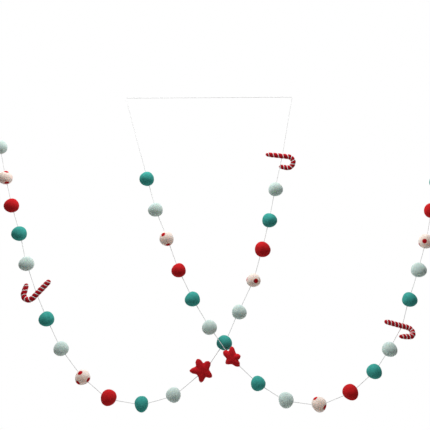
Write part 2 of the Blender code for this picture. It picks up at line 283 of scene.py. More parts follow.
def cane_line(cane, along):
    """A point of the centre line and the angle of the cane there, in the cane's plane."""
    arm = (cane["before"] + cane["after"]) * MM
    radius = cane["bend"] * MM
    sweep = math.radians(cane["sweep"])
    if along <= arm:
        return Vector((along - cane["before"] * MM, 0)), 0.0
    angle = min((along - arm) / radius, sweep)
    point = Vector((cane["after"] * MM + radius * math.sin(angle), radius * (1 - math.cos(angle))))
    rest = along - arm - angle * radius
    point += rest * Vector((math.cos(angle), math.sin(angle)))
    return point, angle


def cane_axes(cane):
    """The arm's direction, the hook's side and the cane's normal."""
    angle = math.radians(cane["arm"])
    arm = Vector((math.cos(angle), 0, math.sin(angle)))
    flat_side = cane["side"] * Vector((-math.sin(angle), 0, math.cos(angle)))
    turn = math.radians(cane["turn"])
    side = flat_side * math.cos(turn) + Vector((0, 1, 0)) * math.sin(turn)
    return arm, side, arm.cross(side)


def cane_point(cane, place, along, around, out):
    """A point at a distance out from the centre line, on one side of the cane."""
    arm, side, normal = cane_axes(cane)
    middle, angle = cane_line(cane, along)
    outward = Vector((math.sin(angle), -math.cos(angle)))
    flat = middle + outward * out * math.cos(around)
    return place + arm * flat.x + side * flat.y + normal * out * math.sin(around)


def thread_turns(cane, along):
    """How many turns the thread has made since it first showed in front."""
    arm = (cane["before"] + cane["after"]) * MM
    on_arm = (min(along, arm) - cane["first"] * MM) / (cane["arm_pitch"] * MM)
    return on_arm + max(along - arm, 0) / (cane["hook_pitch"] * MM)


def cane_radius(cane, along, length, radius):
    """A cane's radius without the thread: rounded ends and slimmer tips."""
    from_end = min(along, length - along)
    rounded = math.sqrt(max(0.0, 1 - (1 - min(from_end / radius, 1)) ** 2))
    tip = cane["tips"][0] if along < length / 2 else cane["tips"][1]
    slimmer = tip + (1 - tip) * min(from_end / (TIP_REACH * radius), 1) ** TIP_FULLNESS
    return radius * rounded * slimmer


print("cane lengths:", {number: f"{cane_length(cane):.4f} m" for number, cane in CANES.items()})

# %% [markdown]
# A star has five arms, each with its own angle and reach, because it is shaped by hand. An
# arm gives its outline two shoulders and a tip, and a notch follows it. A smooth curve
# through those twenty points is the outline.

# %% Stars
STARS = {
    13: {"turn": 8, "arms": ((118, 20.1, 4.7, 11.8), (55, 17.3, 4.9, 10.2), (-34, 17.3, 3.7, 11.0),
                             (-100, 18.0, 3.7, 10.6), (179, 21.0, 3.7, 13.3))},
    27: {"turn": 8, "arms": ((94, 17.9, 3.5, 9.2), (17, 12.9, 3.9, 9.3), (-51, 15.3, 4.3, 9.1),
                             (-143, 13.6, 3.4, 9.8), (145, 17.8, 4.3, 12.6))},
}
SHOULDER_SHARE = 0.86


def star_corners(star):
    """Two shoulders, a tip and a notch for each arm, in the star's plane."""
    arms = star["arms"]
    corners = []
    for index, (degrees, reach, half_width, notch) in enumerate(arms):
        angle = math.radians(degrees)
        following = math.radians(arms[(index + 1) % len(arms)][0])
        while following > angle:
            following -= math.tau
        shoulder = SHOULDER_SHARE * reach
        spread = math.atan2(half_width, shoulder)
        middle = (angle + following) / 2
        spots = ((angle + spread, shoulder), (angle, reach),
                 (angle - spread, shoulder), (middle, notch))
        corners += [Vector((math.cos(turn), math.sin(turn))) * far for turn, far in spots]
    return corners


def star_outline(star, steps):
    """A smooth closed curve through the star's corners, with steps points for each."""
    corners = star_corners(star)
    count = len(corners)
    outline = []
    for index in range(count):
        a, b, c, d = (corners[(index + shift) % count] for shift in (-1, 0, 1, 2))
        for step in range(steps):
            t = step / steps
            smooth = (2 * b + (c - a) * t + (2 * a - 5 * b + 4 * c - d) * t ** 2
                      + (3 * b - a - 3 * c + d) * t ** 3) / 2
            outline.append(smooth * MM)
    return outline


def star_axes(star, direction):
    """The star's level, upright and normal directions, turned about its string."""
    turn = Matrix.Rotation(math.radians(star["turn"]), 3, direction)
    return turn @ Vector((1, 0, 0)), turn @ Vector((0, 0, 1)), turn @ Vector((0, -1, 0))


def star_mouth(outline, way):
    """How far the outline is from the star's middle, along one way in its plane."""
    for start, end in zip(outline, outline[1:] + outline[:1]):
        low = way.x * start.y - way.y * start.x
        high = way.x * end.y - way.y * end.x
        if low * high <= 0:
            point = start.lerp(end, low / (low - high)) if low != high else start
            if point.dot(way) > 0:
                return point.length
    return 0.0


print("corners of each star:", {number: len(star_corners(star)) for number, star in STARS.items()})

# %% [markdown]
# ## The string's route
#
# A needle draws the string straight through each piece, so it is straight inside and kinks
# only at the two mouths. Between the pieces their weight holds it taut. Over each nail it
# makes a bend two millimetres in radius. The string starts and ends at the knots of two
# small loops, just outside the photograph.

# %% The route
STRING_RADIUS = 0.5 * MM
KINK_CLEARANCE = 0.3 * MM
NAIL_BEND_RADIUS = 2.0 * MM
NAIL_BEND_STEPS = 3
LOOP_RADIUS = 4.0 * MM
KNOT_RADIUS = 1.3 * MM
SOLID_OUTLINE_STEPS = 2
LEAST_SLANT = 0.5


def reaches_of(number, kind, size, direction):
    """How far the string is inside a piece, before and after its middle."""
    if kind == "cane":
        arm = cane_axes(CANES[number])[0]
        across = size / 2 / max(direction.cross(arm).length, LEAST_SLANT)
        return across, across
    if kind == "star":
        star = STARS[number]
        level, upright, _ = star_axes(star, direction)
        way = Vector((direction.dot(level), direction.dot(upright)))
        outline = star_outline(star, SOLID_OUTLINE_STEPS)
        return star_mouth(outline, -way), star_mouth(outline, way)
    return tuple(mouth.length for mouth in ball_mouths(number, size, direction))


def nail_bend(nail, arrive, leave):
    """Points of the small round bend of the string over a nail."""
    inward = (leave - arrive).normalized()
    half_turn = arrive.angle(leave) / 2
    centre = nail + inward * NAIL_BEND_RADIUS
    axis = arrive.cross(leave).normalized()
    points = []
    for step in range(NAIL_BEND_STEPS + 1):
        angle = -half_turn + 2 * half_turn * step / NAIL_BEND_STEPS
        points.append(centre + Matrix.Rotation(angle, 3, axis) @ (-inward * NAIL_BEND_RADIUS))
    return points


def string_end(nail, towards):
    """The knot of an end loop, the way down from it, and where the long string starts."""
    down = (towards - nail).normalized()
    knot = nail + down * (2 * LOOP_RADIUS)
    return knot, down, knot + down * (KNOT_RADIUS + KINK_CLEARANCE)


def string_route():
    """The points of the whole string, from its left knot to its right one."""
    points = [string_end(LEFT_LOOP_NAIL, rows[0][2])[2]]
    for (number, kind, place, size), direction in zip(rows, directions):
        before, after = reaches_of(number, kind, size, direction)
        points.append(place - direction * (before + KINK_CLEARANCE))
        points.append(place + direction * (after + KINK_CLEARANCE))
        if number == len(BACK_SWAG):
            across = (LEFT_NAIL - RIGHT_NAIL).normalized()
            down = (rows[number][2] - LEFT_NAIL).normalized()
            points += nail_bend(RIGHT_NAIL, (RIGHT_NAIL - place).normalized(), across)
            points += nail_bend(LEFT_NAIL, across, down)
    points.append(string_end(RIGHT_LOOP_NAIL, rows[-1][2])[2])
    return points


route = string_route()
string_length = sum((b - a).length for a, b in zip(route, route[1:]))
print(f"string: {len(route)} points, {string_length:.3f} m")

# %% [markdown]
# ## Nodes written as arithmetic
#
# A finish is a formula: a colour, darker in patches, lighter along the fibres. Blender
# stores it as nodes and links, which are long to write one by one. The small class below
# wraps a socket, so that `1 - patches * 0.4` adds the Math nodes by itself. A second class
# holds one material and adds every other kind of node through one method.

# %% Wrap a socket, and add nodes to a finish


class Wire:
    """An output socket that takes part in Python arithmetic."""

    def __init__(self, finish, socket):
        self.finish = finish
        self.socket = socket

    def __add__(self, other):
        return self.finish.maths("ADD", self, other)

    def __sub__(self, other):
        return self.finish.maths("SUBTRACT", self, other)

    def __rsub__(self, other):
        return self.finish.maths("SUBTRACT", other, self)

    def __mul__(self, other):
        return self.finish.maths("MULTIPLY", self, other)

    __radd__ = __add__
    __rmul__ = __mul__


class Finish:
    """One material, ending in a Principled BSDF."""

    def __init__(self, name, constants):
        self.material = bpy.data.materials.new(name)
        self.material.use_nodes = True
        self.tree = self.material.node_tree
        self.shader = self.tree.nodes["Principled BSDF"]
        for socket, value in constants.items():
            self.shader.inputs[socket].default_value = value

    def add(self, kind, settings=None, sockets=None, out=0):
        """Add a node, set its settings, feed its sockets and return one output."""
        node = self.tree.nodes.new(kind)
        for key, value in (settings or {}).items():
            if key == "stops":
                self.set_stops(node.color_ramp, value)
            else:
                setattr(node, key, value)
        for key, value in (sockets or {}).items():
            self.feed(node.inputs[key], value)
        return Wire(self, node.outputs[out])

    def set_stops(self, ramp, stops):
        """Give a colour ramp its positions and grey levels."""
        while len(ramp.elements) < len(stops):
            ramp.elements.new(1.0)
        for element, (position, level) in zip(ramp.elements, stops):
            element.position = position
            element.color = (level, level, level, 1)

    def feed(self, socket, value):
        """Link a wire to a socket, or set a plain value."""
        if isinstance(value, Wire):
            self.tree.links.new(value.socket, socket)
        else:
            socket.default_value = value

    def maths(self, operation, one, two):
        """A Math node on two wires or numbers."""
        return self.add("ShaderNodeMath", {"operation": operation}, {0: one, 1: two})

    def mix(self, share, one, two):
        """A colour between two others. A Mix node's sockets share names, so numbers pick them."""
        return self.add("ShaderNodeMix", {"data_type": "RGBA"}, {0: share, 6: one, 7: two}, out=2)

    def drive(self, sockets):
        """Feed sockets of the Principled BSDF with what changes over the surface."""
        for socket, value in sockets.items():
            self.feed(self.shader.inputs[socket], value)


print("a wire can be added, taken away and multiplied")

# %% [markdown]
# ## Felted wool
#
# Felt has no weave. Its fibres lie matted in every direction, and three things show: the
# wool takes dye a little unevenly, in patches some millimetres wide; single fibres and
# strands of them cross the surface as fine light and dark lines; and the surface is dull,
# with a soft sheen where the fibres stand against the light. A fibre is drawn as a ridge:
# the line along which a long stretched noise passes through its middle value. Five sheets
# of such lines, each turned another way, lie over one another. Light sinks into pale wool
# and comes out some millimetres on, so a pale ball is shaded more evenly than a dark one.
# The pale felts therefore get some subsurface scattering and a rough, even diffuse shade,
# and less gloss and sheen.

# %% Felt finish
FIBRE_SHEETS = (
    (0.34 * MM, 3.6 * MM, (0.3, 0.2, 0.5)),
    (0.24 * MM, 2.6 * MM, (1.4, 0.6, 2.1)),
    (0.38 * MM, 4.4 * MM, (0.7, 1.9, 1.1)),
    (0.20 * MM, 2.0 * MM, (2.3, 1.2, 0.4)),
    (0.28 * MM, 3.0 * MM, (1.1, 2.6, 2.8)),
)
RIDGE_SHARPNESS = 9.0
SCATTER_LENGTH = 14.0 * MM
PATCH_WIDTH = 5.0 * MM
MOTTLE_WIDTH = 1.6 * MM
FINE_WIDTH = 0.5 * MM
FELT_GLOSS = 0.12
FELT_SHEEN = 0.10
FELT_RELIEF = 0.14 * MM
SHADE_SHARE = 0.75
GLOW_SHARE = 0.42


def cloud(finish, place, width, detail=3.0):
    """Soft noise whose patches are about as wide as asked."""
    return finish.add("ShaderNodeTexNoise", None,
                      {"Vector": place, "Scale": 1 / width, "Detail": detail})


def fibre_height(finish, place):
    """Ridges that run in lines, like matted fibres."""
    height = 0.0
    for across, along, turn in FIBRE_SHEETS:
        turned = finish.add("ShaderNodeMapping", {"vector_type": "TEXTURE"}, {
            "Vector": place, "Rotation": turn, "Scale": (along, across, across)})
        lines = finish.add("ShaderNodeTexNoise", None,
                           {"Vector": turned, "Scale": 1.0, "Detail": 1.0, "Distortion": 0.8})
        from_middle = finish.maths("ABSOLUTE", lines - 0.5, 0.0)
        height = finish.maths("MAXIMUM", height, 1 - from_middle * RIDGE_SHARPNESS)
    return height


def felt(name, colour, shade, glow, depth=0.0):
    """Matte wool felt: its colour, darker patches, lighter fibres, and how light sinks in."""
    finish = Finish(name, {
        "Metallic": 0.0, "Diffuse Roughness": min(1.0, 2 * depth),
        "Specular IOR Level": FELT_GLOSS * (1 - depth),
        "Sheen Weight": FELT_SHEEN * (1 - depth), "Sheen Roughness": 0.5,
        "Sheen Tint": (*glow, 1), "Subsurface Weight": depth,
        "Subsurface Scale": SCATTER_LENGTH, "Subsurface Radius": (1.0, 0.9, 0.8)})
    place = finish.add("ShaderNodeTexCoord", out=3)
    patches = cloud(finish, place, PATCH_WIDTH)
    mottle = cloud(finish, place, MOTTLE_WIDTH)
    fine = cloud(finish, place, FINE_WIDTH)
    darker = finish.add("ShaderNodeValToRGB", {"stops": ((0.42, 0.0), (0.62, 1.0))},
                        {"Fac": patches * 0.55 + mottle * 0.45})
    fibres = fibre_height(finish, place)
    lighter = fibres * finish.add("ShaderNodeValToRGB", {"stops": ((0.36, 0.1), (0.62, 1.0))},
                                  {"Fac": mottle})
    base = finish.mix(darker * SHADE_SHARE, (*colour, 1), (*shade, 1))
    base = finish.mix(lighter * GLOW_SHARE, base, (*glow, 1))
    bump = finish.add("ShaderNodeBump", None, {
        "Strength": 0.6, "Distance": FELT_RELIEF,
        "Height": fibres * 0.8 + mottle * 1.6 + fine * 0.5})
    finish.drive({"Base Color": base, "Roughness": 0.86 + fine * 0.14, "Normal": bump})
    return finish, base


FELTS = {
    "mint": ((0.60, 0.735, 0.69), (0.44, 0.55, 0.52), (0.77, 0.89, 0.86)),
    "teal": ((0.036, 0.335, 0.288), (0.016, 0.210, 0.180), (0.11, 0.49, 0.43)),
    "red": ((0.540, 0.008, 0.011), (0.33, 0.003, 0.005), (0.72, 0.030, 0.034)),
    "star": ((0.620, 0.009, 0.014), (0.40, 0.003, 0.006), (0.80, 0.035, 0.045)),
    "cane": ((0.460, 0.004, 0.012), (0.27, 0.002, 0.006), (0.64, 0.020, 0.032)),
}
PALE_DEPTH = {"mint": 0.45, "white": 0.8}
finishes = {kind: felt(f"{kind}_felt", *colours, PALE_DEPTH.get(kind, 0.0))[0].material
            for kind, colours in FELTS.items()}
print("felts:", ", ".join(finishes))

# %% [markdown]
# The cream balls carry small round red dots. They are tufts of dyed wool needled flush
# into the ball, so a dot has no edge that could be modelled, only a fuzzy border. Each
# vertex of a cream ball will store how far it is from the nearest dot's middle, in
# millimetres. The finish cuts that distance at the dot's radius, and fine noise frays it.

# %% Cream felt with red dots
CREAM = ((0.840, 0.705, 0.635), (0.69, 0.565, 0.495), (0.93, 0.83, 0.77))
DOT_RADIUS_MM = 3.9
DOT_FRAY_MM = 1.1
DOT_BORDER_MM = (0.1, 0.9)
DOT_FRAY_WIDTH = 0.7 * MM
DARK_DOT = (0.30, 0.004, 0.008)
BRIGHT_DOT = (0.58, 0.010, 0.018)


def dotted_felt():
    """Cream felt, with red wherever the stored distance is less than the dot's radius."""
    finish, base = felt("white_felt", *CREAM, PALE_DEPTH["white"])
    place = finish.add("ShaderNodeTexCoord", out=3)
    distance = finish.add("ShaderNodeAttribute", {"attribute_name": "dot_distance"}, out=2)
    fray = cloud(finish, place, DOT_FRAY_WIDTH, detail=2.0)
    edge = distance + fray * DOT_FRAY_MM
    inside = finish.add("ShaderNodeMapRange", None, {
        "Value": edge, "From Min": DOT_RADIUS_MM + DOT_BORDER_MM[0],
        "From Max": DOT_RADIUS_MM + DOT_BORDER_MM[1], "To Min": 1.0, "To Max": 0.0})
    dot = finish.mix(fray, (*DARK_DOT, 1), (*BRIGHT_DOT, 1))
    finish.drive({"Base Color": finish.mix(inside, base, dot)})
    return finish.material


finishes["white"] = dotted_felt()
print("cream felt with dots", 2 * DOT_RADIUS_MM, "mm wide")

# %% [markdown]
# ## Cotton
#
# The string is three plies of cotton twisted together. Its twist is in the mesh, so the
# finish only needs dull white fibre with a slight grey unevenness. The thread on the canes
# is a soft cream wool, and light sinks a millimetre or two into it.

# %% Cotton finish
STRING_COLOURS = ((0.87, 0.87, 0.87), (0.75, 0.75, 0.75))
THREAD_COLOURS = ((0.98, 0.91, 0.89), (0.88, 0.79, 0.77))
THREAD_DEPTH = 0.7
THREAD_SCATTER = 2.0 * MM
COTTON_GRAIN = 0.3 * MM
COTTON_RELIEF = 0.1 * MM


def cotton(name, colour, shade, depth=0.0):
    """Dull twisted cotton or wool thread, into which light may sink."""
    finish = Finish(name, {"Metallic": 0.0, "Specular IOR Level": 0.2, "Sheen Weight": 0.15,
                           "Subsurface Weight": depth, "Subsurface Scale": THREAD_SCATTER,
                           "Subsurface Radius": (1.0, 0.9, 0.85)})
    place = finish.add("ShaderNodeTexCoord", out=3)
    grain = cloud(finish, place, COTTON_GRAIN)
    bump = finish.add("ShaderNodeBump", None,
                      {"Strength": 0.4, "Distance": COTTON_RELIEF, "Height": grain})
    finish.drive({"Base Color": finish.mix(grain, (*shade, 1), (*colour, 1)),
                  "Roughness": 0.8 + grain * 0.2, "Normal": bump})
    return finish.material


finishes["string"] = cotton("string_cotton", *STRING_COLOURS)
finishes["thread"] = cotton("cane_thread_wool", *THREAD_COLOURS, THREAD_DEPTH)
print("finishes:", ", ".join(finishes))

# %% [markdown]
# ## Pieces
#
# Every finished piece is one object at the origin, with its place in its mesh. It rides on
# the garland's single body, stands for its solid, and carries its finish.

# %% Make a piece from a bmesh


def stored(name, bm):
    """The mesh of a bmesh, which is then freed."""
    mesh = bpy.data.meshes.new(name)
    bm.to_mesh(mesh)
    bm.free()
    return mesh


def new_piece(name, bm, finish, nodes):
    """Store a bmesh as a piece that replaces some solids of the frame."""
    bmesh.ops.recalc_face_normals(bm, faces=bm.faces)
    mesh = stored(name, bm)
    mesh.materials.append(finish)
    mesh.shade_smooth()
    piece = put_in_scene(name, mesh)
    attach(piece, "root")
    if nodes:
        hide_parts(*nodes)
    return piece


# %% [markdown]
# ## Twisted yarn
#
# String and thread are tubes with a twist. A flat grid is the easiest start: its columns
# become the places round the yarn and its rows the places along it. Rolled up, its two
# edges meet and are merged. The cross-section is not round: it has a lobe for each ply, and
# the lobes turn with the length. The last row shrinks to a point, which closes the end as
# a blunt cut.

# %% Roll a grid into a tube, and lay yarn along a route
BLUNT_END = 0.93
MERGE_DISTANCE = 0.00001 * MM


def rolled_grid(sides, steps, place_point):
    """A tube from a grid: place_point gets the share round and the share along."""
    bm = bmesh.new()
    bmesh.ops.create_grid(bm, x_segments=sides, y_segments=steps, size=0.5)
    for vert in bm.verts:
        vert.co = place_point(vert.co.x + 0.5, vert.co.y + 0.5)
    bmesh.ops.remove_doubles(bm, verts=bm.verts, dist=MERGE_DISTANCE)
    return bm


def spread_along(points, step):
    """Evenly spaced places on a route, and the route's length."""
    lengths = [0.0]
    for start, end in zip(points, points[1:]):
        lengths.append(lengths[-1] + (end - start).length)
    count = max(8, round(lengths[-1] / step))
    places = []
    piece = 0
    for index in range(count + 1):
        along = lengths[-1] * index / count
        while piece < len(points) - 2 and lengths[piece + 1] < along:
            piece += 1
        share = (along - lengths[piece]) / (lengths[piece + 1] - lengths[piece])
        places.append(points[piece].lerp(points[piece + 1], share))
    return places, lengths[-1]


def carried_frames(places):
    """A side direction for each place, carried along the route without twisting."""
    ways = [(after - before).normalized()
            for before, after in zip([places[0]] + places[:-1], places[1:] + [places[-1]])]
    side = ways[0].orthogonal().normalized()
    sides = []
    for way in ways:
        side = (side - way * side.dot(way)).normalized()
        sides.append((side, way.cross(side)))
    return sides


def yarn(points, radius, ply_length, step, sides=9, plies=3, hollow=0.16):
    """A bmesh of twisted yarn: each ply is a lobe of the cross-section."""
    places, length = spread_along(points, step)
    frames = carried_frames(places)
    last = len(places) - 1

    def place_point(round_share, along_share):
        index = round(along_share * last)
        angle = math.tau * round_share
        twist = math.tau * length * along_share / ply_length
        lobe = abs(math.cos(plies / 2 * (angle - twist)))
        closing = min(1.0, BLUNT_END * min(index, last - index))
        out = radius * (1 - hollow + hollow * lobe) * closing
        side, other = frames[index]
        return places[index] + (side * math.cos(angle) + other * math.sin(angle)) * out

    return rolled_grid(sides, last, place_point)


# %% [markdown]
# The whole string is one yarn with its real length: it leaves
# the knot of the left loop, is held taut by the nails, and ends in the right loop's knot.
# A loop is a ring of the same yarn, and its knot is five turns wound round the string.

# %% The string and its two end loops
STRING_PLY_LENGTH = 3.6 * MM
STRING_STEP = 0.36 * MM
LOOP_YARN_RADIUS = 0.9 * STRING_RADIUS
LOOP_YARN_STEP = 0.35 * MM
LOOP_STEPS = 24
LOOP_GAP = 0.06 * math.pi
KNOT_TURNS = 5
KNOT_STEPS = 12 * KNOT_TURNS
KNOT_RISE = 2.8
KNOT_START = 0.8
KNOT_SUNK = 0.45
TAIL_LENGTH = 5.0 * MM

string = new_piece("cotton_string", yarn(route, STRING_RADIUS, STRING_PLY_LENGTH, STRING_STEP),
                   finishes["string"], ["string"])


def end_loop_route(nail, towards):
    """Up from the knot, round the loop, back, and down round the string's end."""
    knot, down, start = string_end(nail, towards)
    depth = Vector((0, 1, 0))
    side = down.cross(depth).normalized()
    ring_middle = nail + down * (LOOP_RADIUS - STRING_RADIUS)
    points = [knot + down * KNOT_RADIUS]
    for step in range(LOOP_STEPS + 1):
        angle = LOOP_GAP + (math.tau - 2 * LOOP_GAP) * step / LOOP_STEPS
        spot = down * math.cos(angle) + side * math.sin(angle)
        aside = depth * STRING_RADIUS * math.cos(angle / 2)
        points.append(ring_middle + spot * LOOP_RADIUS + aside)
    for step in range(KNOT_STEPS + 1):
        share = step / KNOT_STEPS
        angle = math.tau * KNOT_TURNS * share
        wrap = side * math.cos(angle) + depth * math.sin(angle)
        rise = down * (KNOT_RADIUS * (KNOT_RISE * share - KNOT_START))
        points.append(knot + rise + wrap * (KNOT_RADIUS - KNOT_SUNK * STRING_RADIUS))
    points.append(points[-1] + (down * 0.8 + side * 0.6) * TAIL_LENGTH)
    return points


for side_name, nail, towards in (("left", LEFT_LOOP_NAIL, rows[0][2]),
                                 ("right", RIGHT_LOOP_NAIL, rows[-1][2])):
    loop_yarn = yarn(end_loop_route(nail, towards), LOOP_YARN_RADIUS, STRING_PLY_LENGTH,
                     LOOP_YARN_STEP)
    new_piece(f"hanging_loop_{side_name}", loop_yarn, finishes["string"],
                           [f"end_loop_{side_name}"])

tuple(route[0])
print("string faces:", len(string.data.polygons))

# %% [markdown]
# ## Felt balls
#
# A ball is rolled from loose wool in hot soapy water. It could be a smooth sphere with a
# bumpy finish, but its outline would then give it away. Here an icosphere, whose faces are
# all alike, is subdivided once more. It gets the slow lumps of the construction model,
# then shallow dents a few millimetres wide, then a small pit where the string goes in and
# comes out. The dotted balls get the finest mesh, because their dots are stored in it.

# %% Felt balls
BALL_SUBDIVISIONS = 4
BALL_CUTS = 2
DOTTED_CUTS = 3
DENT_DEPTH = 0.18 * MM
DENT_WIDTH = 5.5 * MM
NAP_DEPTH = 0.045 * MM
NAP_WIDTH = 1.9 * MM
PIT_DEPTH = 0.8 * MM
PIT_WIDTH = 1.4 * MM


def felt_relief(point, number):
    """Shallow dents and a finer nap, for any felt surface."""
    shift = Vector((number * 7.3, number * 3.1, number * 5.7))
    dents = noise.noise(point / DENT_WIDTH + shift)
    nap = noise.noise(point / NAP_WIDTH + shift)
    return DENT_DEPTH * dents + NAP_DEPTH * nap


def pit(point, mouths):
    """How deep the string's mouths pull the surface in at a point."""
    nearest = min((point - mouth).length for mouth in mouths)
    return PIT_DEPTH * math.exp(-(nearest / PIT_WIDTH) ** 2)


def ball_mesh(number, kind, place, size, direction):
    """A bmesh of one felt ball."""
    bm = bmesh.new()
    bmesh.ops.create_icosphere(bm, subdivisions=BALL_SUBDIVISIONS, radius=1)
    cuts = DOTTED_CUTS if kind == "white" else BALL_CUTS
    bmesh.ops.subdivide_edges(bm, edges=bm.edges, cuts=cuts, use_grid_fill=True)
    waves = lump_waves(number)
    mouths = ball_mouths(number, size, direction)
    for vert in bm.verts:
        way = vert.co.normalized()
        point = ball_point(number, way, size, waves, direction)
        vert.co = place + point + way * (felt_relief(point, number) - pit(point, mouths))
    return bm


print("dents and nap up to", round((DENT_DEPTH + NAP_DEPTH) / MM, 3), "mm")

# %% [markdown]
# Each cream ball has its own dots. The table gives the dots that show in the photograph,
# as directions to the right, up and towards the viewer. The opposite of each is a dot too,
# and a few more sit where the photograph doesn't look.

# %% Red dots of the cream balls
SEEN_DOTS = {
    2: ((0.32, 0.77, 0.56), (0.42, -0.88, 0.22)),
    9: ((-0.19, 0.64, 0.75), (0.90, -0.30, 0.32), (-0.45, -0.66, 0.60)),
    16: ((0.26, -0.21, 0.94), (-0.98, 0.16, 0.06)),
    23: ((-0.40, 0.43, 0.81), (0.28, -0.92, 0.27)),
    30: ((-0.54, 0.81, 0.22), (0.66, -0.33, 0.67)),
    37: ((-0.58, -0.13, 0.80), (0.86, 0.40, 0.32)),
}
HIDDEN_DOTS = {2: ((0.85, 0.08, -0.46),), 16: ((0.05, 0.93, -0.36), (0.02, -0.93, -0.36)),
               23: ((0.88, 0.25, -0.40),), 30: ((-0.60, -0.68, -0.42),),
               37: ((-0.30, 0.88, -0.36), (0.10, -0.92, -0.38))}


def mark_dots(bm, number, middle, size):
    """Store each vertex's distance to the nearest dot's middle, in millimetres."""
    dots = [Vector(dot) for dot in SEEN_DOTS[number]]
    dots += [-dot for dot in dots] + [Vector(dot) for dot in HIDDEN_DOTS.get(number, ())]
    ways = [Vector((right, -towards, up)).normalized() for right, up, towards in dots]
    layer = bm.verts.layers.float.new("dot_distance")
    for vert in bm.verts:
        here = (vert.co - middle).normalized()
        angle = min(here.angle(way) for way in ways)
        vert[layer] = angle * size / 2 / MM


SLOTS = {"mint": "mint_felt", "teal": "teal_felt", "white": "white_felt", "red": "red_felt"}
balls = {kind: [] for kind in SLOTS}
for (number, kind, place, size), direction in zip(rows, directions):
    if kind not in SLOTS:
        continue
    ball = ball_mesh(number, kind, place, size, direction)
    if kind == "white":
        mark_dots(ball, number, place - inner_side(direction) * STRING_LIFT, size)
    balls[kind].append(new_piece(f"felted_ball_{number:02d}", ball, finishes[kind],
                                 [f"ball_{number:02d}_{kind}"]))
print("balls:", {kind: len(made) for kind, made in balls.items()})

# %% [markdown]
# ## Puffy stars
#
# A felted star is thick in the middle and rounded at its edge. It starts as a sphere of
# meridians and rings: each meridian is pulled out to one point of the star's outline, and
# the height of each ring follows a full, cushion-like curve. Smoothing then softens the
# creases that the notches would leave, as felting does.

# %% Puffy stars
STAR_OUTLINE_STEPS = 8
STAR_RINGS = 30
STAR_SMOOTHING = 3
PUFF_POWER = 2.6


def star_mesh(number, place, size, direction):
    """A bmesh of one puffy star."""
    star = STARS[number]
    outline = star_outline(star, STAR_OUTLINE_STEPS)
    level, upright, normal = star_axes(star, direction)
    way = Vector((direction.dot(level), direction.dot(upright)))
    mouths = [place + turn * direction * star_mouth(outline, turn * way) for turn in (-1, 1)]
    bm = bmesh.new()
    bmesh.ops.create_uvsphere(bm, u_segments=len(outline), v_segments=STAR_RINGS, radius=1)
    for vert in bm.verts:
        share = min(1.0, vert.co.xy.length)
        meridian = round(math.atan2(vert.co.y, vert.co.x) / math.tau * len(outline))
        spot = outline[meridian % len(outline)] * share
        height = math.copysign(size / 2 * math.sqrt(1 - share ** PUFF_POWER), vert.co.z)
        vert.co = place + level * spot.x + upright * spot.y + normal * height
    for _ in range(STAR_SMOOTHING):
        bmesh.ops.smooth_vert(bm, verts=bm.verts, factor=0.5, use_axis_x=True, use_axis_y=True,
                              use_axis_z=True)
    bm.normal_update()
    for vert in bm.verts:
        relief = felt_relief(vert.co - place, number) - pit(vert.co, mouths)
        vert.co += vert.normal * relief
    return bm


stars = []
for (number, kind, place, size), direction in zip(rows, directions):
    if kind == "star":
        puffy = star_mesh(number, place, size, direction)
        stars.append(new_piece(f"felted_star_{number:02d}", puffy, finishes["star"],
                               [f"star_{number:02d}"]))
print("star faces:", [len(star_piece.data.polygons) for star_piece in stars])

# %% [markdown]
# ## Wound canes
#
# A cane is a roll of crimson felt, wound tightly with one cream thread. The thread sinks
# in, and the felt swells between its turns. The roll is the same rolled grid as the yarn,
# with a groove that winds round it. The thread is yarn laid in that groove.

# %% Wound canes
CANE_SIDES = 28
CANE_STEP = 0.45 * MM
GROOVE_DEPTH = 0.21
GROOVE_NARROWNESS = 3
THREAD_SUNK = 0.50
THREAD_RADIUS = 0.68 * MM
THREAD_STEP = 0.3 * MM
THREAD_PLY_LENGTH = 3.4 * MM
THREAD_YARN_STEP = 0.4 * MM
THREAD_HOLLOW = 0.12
THREAD_START = 0.10


def cane_mesh(number, place, size):
    """A bmesh of the felt roll, grooved where the thread lies."""
    cane = CANES[number]
    length = cane_length(cane)

    def place_point(round_share, along_share):
        along = length * along_share
        around = math.tau * round_share
        phase = math.tau * thread_turns(cane, along) + around + math.pi / 2
        groove = (0.5 + 0.5 * math.cos(phase)) ** GROOVE_NARROWNESS
        out = cane_radius(cane, along, length, size / 2) * (1 - GROOVE_DEPTH * groove)
        point = cane_point(cane, place, along, around, out)
        return point + (point - cane_point(cane, place, along, around, 0)) * (
            felt_relief(point - place, number) / (size / 2))

    return rolled_grid(CANE_SIDES, round(length / CANE_STEP), place_point)


def thread_route(number, place, size):
    """The helix of the thread, from near one tip to near the other."""
    cane = CANES[number]
    length = cane_length(cane)
    start = THREAD_START * size
    steps = round((length - 2 * start) / THREAD_STEP)
    points = []
    for step in range(steps + 1):
        along = start + (length - 2 * start) * step / steps
        around = -math.tau * thread_turns(cane, along) - math.pi / 2
        floor_of_groove = cane_radius(cane, along, length, size / 2) * (1 - GROOVE_DEPTH)
        out = floor_of_groove + THREAD_SUNK * THREAD_RADIUS
        points.append(cane_point(cane, place, along, around, out))
    return points


canes = []
for number, kind, place, size in rows:
    if kind != "cane":
        continue
    canes.append(new_piece(f"felted_cane_{number:02d}", cane_mesh(number, place, size),
                           finishes["cane"], [f"cane_{number:02d}"]))
    thread = yarn(thread_route(number, place, size), THREAD_RADIUS, THREAD_PLY_LENGTH,
                  THREAD_YARN_STEP, hollow=THREAD_HOLLOW)
    new_piece(f"cane_thread_{number:02d}", thread, finishes["thread"], [])
print("cane faces:", [len(roll.data.polygons) for roll in canes])
